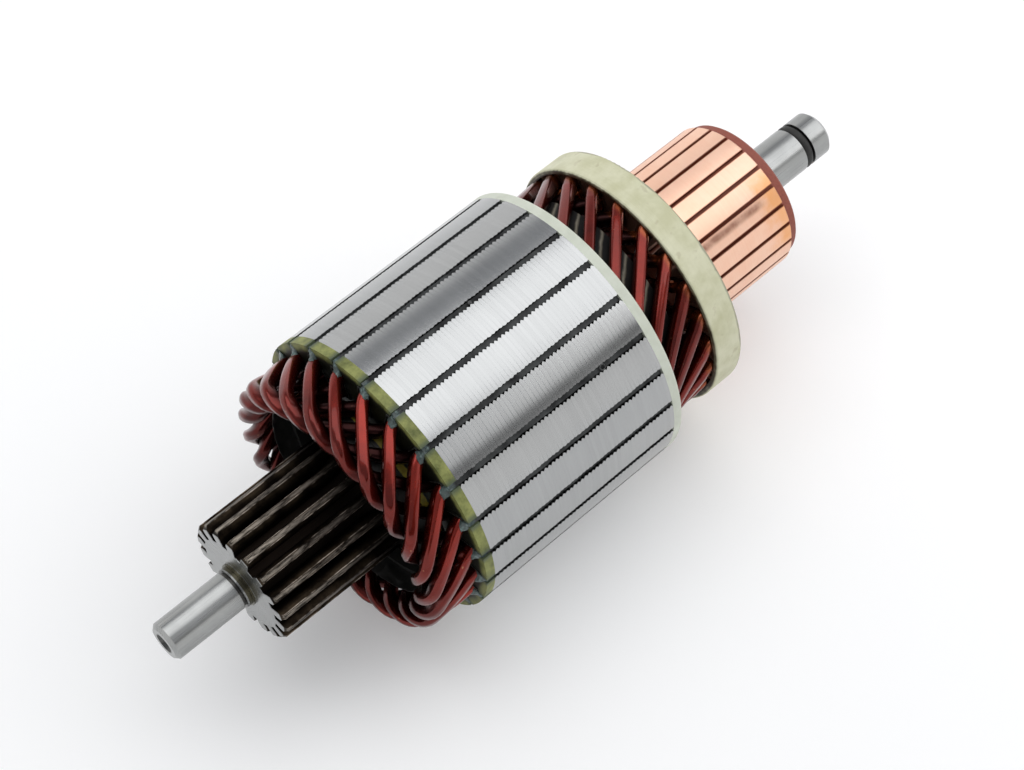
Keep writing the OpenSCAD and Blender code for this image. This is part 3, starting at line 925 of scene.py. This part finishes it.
def oiled_teeth(finish, clouds, grain):
    """Old oil, worn bare on the lands of the teeth, with painted shade towards the core and painted light on
    the upper flanks.
    """
    scratches = finish.noise(finish.join(finish.x * 0.06, finish.y, finish.z), 2600.0, 2.0)
    oil = (clouds * 0.6 + scratches * 0.4).mix(srgb(6, 5, 4), srgb(32, 26, 22))
    # Painted light: the upper flanks of the teeth are lightened as if they faced the lamp.
    flank_sheen = finish.radius.step(pinion_tip_r - 2.6, pinion_tip_r) * clouds.step(0.35, 0.7)
    oil = (flank_sheen * 0.8).mix(oil, srgb(72, 61, 48))
    worn = (finish.along + clouds * 8.0).step(pinion_front + 20.0, pinion_front + 3.0)
    bright = worn.mix(srgb(122, 114, 106), srgb(164, 155, 143))
    bare = grain.step(0.34, 0.66).mix(srgb(16, 13, 12), bright)
    lane = finish.lane(first_tooth, pinion_teeth)
    tips = finish.radius.step(pinion_tip_r - 0.5, pinion_tip_r - 0.1)
    land = (lane + grain * 0.12 + clouds * 0.12 - 0.1).step(half_land + 0.02, half_land - 0.06)
    toothed = (land * tips * (0.3 + clouds + worn * 0.3)).math("MINIMUM", 0.92).mix(oil, bare)
    edge = lane.band(half_land - 0.015, half_land + 0.01, 0.012)
    edge = edge * (clouds + grain * 0.6).step(0.74, 0.95)
    toothed = (edge * tips * 0.9).mix(toothed, srgb(196, 184, 172))
    # Painted shade towards the core.
    core_side_shade = finish.along.step(pinion_back - 14.0, pinion_back - 1.0)
    return (core_side_shade * 0.75).mix(toothed, srgb(9, 7, 6))


print("made:", oiled_teeth.__name__)

# %% Finish of the shaft


def shaft_steel():
    finish = Finish("shaft_steel", metallic=1.0)
    lines = finish.turned(9.0, 0.8)
    streaks = finish.drawn(2.5, 0.05)
    clouds = finish.cloudy(220.0, 4.0, 0.6)
    grain = finish.noise(finish.join(finish.x * 0.16, finish.y, finish.z), 1700.0, 3.0, 0.75)
    ground = (streaks * 0.5 + clouds * 0.5).mix(srgb(128, 129, 128), srgb(177, 178, 177))
    collar = clouds.mix(srgb(62, 58, 46), srgb(112, 108, 90))
    inside = finish.along.step(pinion_front + 0.05, pinion_front + 0.15)
    inside = inside * finish.along.step(core_end, core_face)
    thrust = finish.along.band(pinion_front - 1.3, pinion_front - 0.04, 0.03)
    colour = thrust.mix(ground, collar)
    # Painted shade in the relief groove.
    relief_groove_shade = finish.along.band(pinion_front - 2.45, pinion_front - 1.66, 0.08)
    colour = (relief_groove_shade * 0.85).mix(colour, srgb(34, 30, 24))
    colour = inside.mix(colour, oiled_teeth(finish, clouds, grain))
    # Painted shade on the neck between the pinion and the core.
    seat_shade = finish.along.band(pinion_back - 3.0, core_face, 1.0)
    colour = (seat_shade * 0.8).mix(colour, srgb(12, 10, 9))
    # Painted shade in the bore near the axis at the drive end.
    centre_hole_shade = finish.radius.step(2.5, 2.2) * finish.along.step(pinion_front, pinion_front - 4.0)
    colour = (centre_hole_shade * 0.75).mix(colour, srgb(34, 33, 31))
    roughness = 0.22 + streaks * 0.14 + inside * (0.14 + clouds * 0.2)
    normal = (lines * 0.2 + (clouds + grain * 1.4) * inside).bump(0.2, 0.00005)
    return finish.close(colour, roughness=roughness, normal=normal)


paint(shaft_steel(), "shaft")

# %% [markdown]
# ## The commutator
#
# The copper bars are turned as one cylinder and the grooves between them are sawn out. The track has fine
# lines round it, a streak of tarnish, and amber varnish stains at its free end. The moulded hub shows in the
# grooves. The marks could be painted on a texture. Bands of place and angle set them here, and noise breaks
# their edges.

# %% Finish of the commutator's copper
track_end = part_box("commutator_bar_01")[1].x / MM
track_r = 17.8
riser_front = band_high.x / MM
# Arcs round the shaft in radians: from, to and softness.
seen_stain = (1.98, 3.0, 0.12)
far_stain = (-2.2, -1.1, 0.2)
tarnish = (2.235, 2.325, 0.035)


def commutator_copper():
    finish = Finish("commutator_copper", metallic=0.7)
    lines = finish.turned(7.0, 0.9)
    clouds = finish.cloudy(160.0, 4.0, 0.6)
    patch = finish.cloudy(340.0, 4.0, 0.6)
    bare = (lines * 0.4 + clouds * 0.6).mix(srgb(236, 176, 143), srgb(252, 221, 200))
    stained = finish.round.band(*seen_stain) + finish.round.band(*far_stain)
    stain = (finish.along + patch * 8.0 - 4.0).step(track_end - 7.0, track_end - 1.5) * stained
    colour = (stain * (0.2 + clouds * 0.9)).math("MINIMUM", 0.8).mix(bare, srgb(236, 160, 78))
    streak = finish.round.band(*tarnish)
    streak = streak * finish.along.step(track_end - 3.0, track_end - 7.0)
    colour = (streak * (patch * 1.3)).math("MINIMUM", 0.75).mix(colour, srgb(128, 76, 58))
    edge = finish.lane(first_slot + slot_pitch / 2, slot_count).step(0.125, 0.095)
    colour = (edge * (0.35 + patch * 0.6)).mix(colour, srgb(150, 84, 58))
    sides = finish.radius.step(track_r - 0.12, track_r - 0.4)
    # Painted shade on the risers, seen through the gaps between the bars.
    riser_shade = finish.along.step(riser_front - 0.4, riser_front - 1.0)
    colour = (sides * 0.85).mix(colour, srgb(138, 68, 44))
    colour = (riser_shade * 0.85).mix(colour, srgb(52, 24, 16))
    roughness = 0.36 + clouds * 0.12
    normal = lines.bump(0.1, 0.00003)
    return finish.close(colour, roughness=roughness, normal=normal)


paint(commutator_copper(), *[f"commutator_bar_{i:02d}" for i in range(1, slot_count + 1)])

# %% Finish of the moulded hub


def phenolic():
    finish = Finish("phenolic", specular_ior_level=0.4)
    specks = finish.cloudy(1800.0, 3.0, 0.7)
    clouds = finish.cloudy(200.0)
    grooves = finish.along.step(track_end + 0.2, track_end - 0.2)
    collar = specks.mix(srgb(118, 58, 46), srgb(158, 88, 72))
    floor = clouds.mix(srgb(100, 48, 31), srgb(146, 76, 51))
    colour = grooves.mix(collar, floor)
    normal = specks.bump(0.3, 0.00008)
    return finish.close(colour, roughness=0.5 + specks * 0.2, normal=normal)


paint(phenolic(), "commutator_hub")

# %% [markdown]
# ## Insulation
#
# A fibreglass disc, a white moulded ring, a band of glass thread in resin, and paper between the bars, with
# one rubber ring at the end of the shaft. They are dull, and one plain colour each would look like plastic.
# Their detail is in small changes of colour: stains, threads, fuzzy edges, and painted shade towards the
# middle and on hidden faces.

# %% Finishes of the fibreglass at the drive end
layer_ring_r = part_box("drive_end_layer_ring")[1].z / MM


def glass_laminate():
    finish = Finish("glass_laminate", specular_ior_level=0.3)
    mottle = finish.cloudy(320.0, 4.0, 0.65)
    threads = finish.cloudy(2400.0, 2.0)
    rim = (finish.radius + mottle * 1.2).step(core_r - 1.7, core_r + 0.1)
    weave = (mottle * 0.85 + threads * 0.15).step(0.2, 0.76)
    pale = weave.mix(srgb(70, 77, 36), srgb(146, 150, 88))
    by_slot = (finish.lane(first_slot, slot_count) - mottle * 0.16).step(0.16, 0.0)
    pale = (by_slot * 0.75).mix(pale, srgb(58, 72, 64))
    # Painted shade: inside the rim the disc is near black.
    deep = mottle.mix(srgb(6, 7, 5), srgb(24, 26, 14))
    colour = rim.mix(deep, pale)
    normal = (mottle + threads * 0.4).bump(0.3, 0.0001)
    return finish.close(colour, roughness=0.42 + mottle * 0.2, normal=normal)


def yellow_laminate():
    finish = Finish("yellow_laminate")
    mottle = finish.cloudy(700.0, 3.0, 0.6)
    yellow = mottle.mix(srgb(128, 112, 22), srgb(214, 196, 76))
    # Painted shade: outside a narrow yellow band, the ring and the film under the noses are near black.
    yellow_out_of_shade = (finish.along + mottle * 0.6).band(core_face - 4.9, core_face - 3.5, 0.15)
    yellow_out_of_shade = yellow_out_of_shade * finish.radius.step(layer_ring_r - 0.3, layer_ring_r - 0.1)
    colour = yellow_out_of_shade.mix(srgb(12, 11, 8), yellow)
    return finish.close(colour, roughness=0.4 + mottle * 0.2, normal=mottle.bump(0.3, 0.0001))


under_noses = yellow_laminate()
paint(glass_laminate(), "drive_end_disc")
paint(under_noses, "drive_end_layer_ring")

# %% Finishes of the moulded ring and the band
band_back = band_low.x / MM
band_r = band_high.z / MM


def white_moulding():
    finish = Finish("white_moulding")
    clouds = finish.cloudy(260.0, 4.0, 0.6)
    colour = clouds.mix(srgb(176, 181, 164), srgb(214, 218, 206))
    return finish.close(colour, roughness=0.45 + clouds * 0.15, normal=clouds.bump(0.2, 0.0001))


def band_glass():
    finish = Finish("band_glass")
    threads = finish.turned(3.2, 0.5)
    clouds = finish.cloudy(190.0, 4.0, 0.6)
    spots = finish.cloudy(520.0, 2.0).step(0.62, 0.74)
    pale = threads * 0.3 + clouds.step(0.25, 0.75) * 0.7
    colour = pale.mix(srgb(181, 180, 142), srgb(214, 213, 187))
    colour = (spots * 0.3).mix(colour, srgb(150, 138, 104))
    # Painted shade on the back face and in the bore; the front face is darkened by half.
    back = (finish.along + clouds * 0.3).step(band_back + 0.3, band_back + 0.1)
    front = (finish.along + clouds * 1.2).step(riser_front - 0.1, riser_front + 0.3)
    bore = finish.radius.step(band_r - 0.9, band_r - 1.1)
    colour = (back + front * 0.5 + bore).math("MINIMUM", 1.0).mix(colour, srgb(48, 34, 18))
    normal = threads.bump(0.25, 0.00012)
    return finish.close(colour, roughness=0.40 + clouds * 0.15, normal=normal)


paint(white_moulding(), "commutator_end_ring")
paint(band_glass(), "banding_ring")

# %% Finishes of the paper, the rubber and the varnished sleeve


def liner_paper():
    finish = Finish("liner_paper")
    fibres = finish.cloudy(900.0, 4.0, 0.7)
    colour = fibres.mix(srgb(12, 14, 13), srgb(44, 46, 40))
    return finish.close(colour, roughness=0.5 + fibres * 0.2, normal=fibres.bump(0.3, 0.0001))


def black_rubber():
    finish = Finish("black_rubber", specular_ior_level=0.4)
    dust = finish.cloudy(1500.0, 4.0, 0.7)
    colour = dust.mix(srgb(10, 10, 10), srgb(52, 52, 50))
    return finish.close(colour, roughness=0.45 + dust * 0.2, normal=dust.bump(0.3, 0.00008))


def varnished_film():
    """A dark film with a lit strip painted along the middle of each gap between the bars over it, and painted
    shade elsewhere.
    """
    finish = Finish("varnished_film", specular_ior_level=0.15)
    creases = finish.cloudy(500.0, 3.0, 0.6)
    slant = (finish.along - core_end) * (tail_angle / slant_length)
    share = (finish.round + slant - first_slot) / slot_pitch + slot_count + creases * 0.12
    # Painted light and shade: a lit strip in the middle of each gap, and near black around it. The strip is a
    # crease in the bump too.
    crease_and_lit_strip = share.math("FRACT").band(0.5, 0.6, 0.06)
    colour = (crease_and_lit_strip * (0.3 + creases)).mix(srgb(7, 6, 6), srgb(132, 126, 112))
    normal = (crease_and_lit_strip + creases * 0.4).bump(0.5, 0.0003)
    return finish.close(colour, roughness=0.45 + creases * 0.15, normal=normal)


paint(black_rubber(), "rubber_ring")
paint(liner_paper(), "slot_liners")
paint(varnished_film(), "commutator_end_layer_sleeve")

# %% [markdown]
# ## Film under the noses
#
# A dark film across the gaps under the lower bars stands in for the shade inside the winding. A plain tube
# would be too even. One strip, as wide as the way from bar to bar, is set round the shaft by the ring tree,
# whose noise crumples it.

# %% A dark film under the noses, standing in for shade
film_t = 0.2
film_share = 0.72
film_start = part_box("drive_end_layer_ring")[0].x / MM
film_end = core_face - straight_lead - nose_reach * film_share


def film_mesh(steps=16, turns=6):
    """A strip of film on the Y axis, as wide as the way from one bar to the next, under the lower bars."""
    loops = []
    for i in range(steps + 1):
        x = film_start + (film_end - film_start) * i / steps
        loop = []
        for r, order in ((layer_ring_r, range(turns + 1)), (layer_ring_r - film_t, range(turns, -1, -1))):
            for j in order:
                a = slot_pitch * (j / turns - 0.5)
                loop.append((x, r * math.cos(a), r * math.sin(a)))
        loops.append(loop)
    return skinned("film", loops, caps=True)


# Its finish paints the film near black as shade, outside the yellow band.
sizes = ring_sizes(seed=11, material=under_noses, roughness=1.0, noise_scale=300.0)
film = grow("nose_shade_film", film_mesh(), ring_of_copies, sizes, sharp=60)
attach(film, "root")

# %% [markdown]
# ## Light
#
# The armature lies under one large soft lamp in a white room. Polished steel shows the room: the darker part
# between lamp and walls makes the dark bands along the core, and one lit panel makes its bright stripe. A
# picture of a studio could light it too, but these few steps by direction can be moved one by one.

# %% World


def studio_world():
    """White walls, grey above them, darker on the near side, with one lit panel."""
    world = bpy.data.worlds.new("studio")
    world.use_nodes = True
    graph = Graph(world.node_tree)
    direction = graph.add("ShaderNodeTexCoord", out="Generated")
    x, y, height = graph.split(direction)
    near = y.step(-0.2, -0.5)
    room = height.step(0.56, 0.42) * (1 - near) + height.step(0.455, 0.415) * near
    above = (near * height.step(0.595, 0.565)).mix(srgb(166, 168, 172), srgb(48, 48, 49))
    panel = y.step(-0.46, -0.54) * x.step(0.24, 0.33) * height.step(0.545, 0.575)
    colour = panel.mix(room.mix(above, srgb(255, 255, 255)), (1.25, 1.25, 1.25, 1.0))
    light = graph.add("ShaderNodeBackground", sockets={"Color": colour, "Strength": 1.08})
    graph.add("ShaderNodeOutputWorld", sockets={"Surface": light})
    return world


scene.world = studio_world()
print("world:", scene.world.name)

# %% Lamp
lamp = bpy.data.lights.new("softbox", "AREA")
lamp.shape = "RECTANGLE"
lamp.size = 1.6
lamp.size_y = 0.63
lamp.energy = 5.2
softbox = placed("softbox", lamp)
softbox.location = (0.365, -0.047, 0.7)
softbox.rotation_euler.z = math.radians(-43)
print("lamp of", lamp.energy, "W")

# %% [markdown]
# ## Floor
#
# A plain white sheet. Lit by the lamp alone it would be grey, and a stronger lamp would bleach the object. So
# it glows, but only for rays from the camera and from reflections, and more so far away.

# %% Floor
glow_near = 0.3
glow_far = 1.6


def floor_finish():
    """White that glows for the rays that look at it."""
    finish = Finish("floor_white", roughness=0.9, emission_strength=1.0)
    light_path = finish.add("ShaderNodeLightPath").socket.node
    names = ("Is Camera Ray", "Is Glossy Ray", "Is Transmission Ray")
    rays = [Wire(finish, light_path.outputs[name]) for name in names]
    seen = rays[0].math("MAXIMUM", rays[1]).math("MAXIMUM", rays[2])
    distance = finish.math("SQRT", finish.x * finish.x + finish.y * finish.y)
    far = distance.step(glow_near, glow_far)
    glow = seen.mix(srgb(0, 0, 0), far.mix(srgb(104, 104, 104), srgb(200, 200, 200)))
    return finish.close(srgb(240, 240, 240), emission_color=glow)


floor_mesh = bpy.data.meshes.new("floor")
half_floor = 3.0
floor_z = cad_box[0].z
corners = [(sx * half_floor, sy * half_floor, floor_z) for sx, sy in ((-1, -1), (1, -1), (1, 1), (-1, 1))]
floor_mesh.from_pydata(corners, [], [(0, 1, 2, 3)])
floor_mesh.materials.append(floor_finish())
floor = placed("floor", floor_mesh)
print("floor at", floor_z)

# %% [markdown]
# ## Camera
#
# The camera stands as it did for the photograph. It could be set by eye, but its place and lens were worked
# out from the ends of the core and its slots, so that the outlines agree.

# %% Camera
pitch_degrees = 58.301
heading_degrees = -42.892
camera = bpy.data.cameras.new("camera")
camera.sensor_width = 36.0
camera.lens = 84.1
camera.clip_start = 0.01
viewer = placed("camera", camera)
viewer.location = (-0.18008, -0.19426, 0.42326)
viewer.rotation_euler = (math.radians(90 - pitch_degrees), 0.0, math.radians(heading_degrees))
scene.camera = viewer
scene.view_settings.view_transform = "Standard"
print("lens of", camera.lens, "mm")
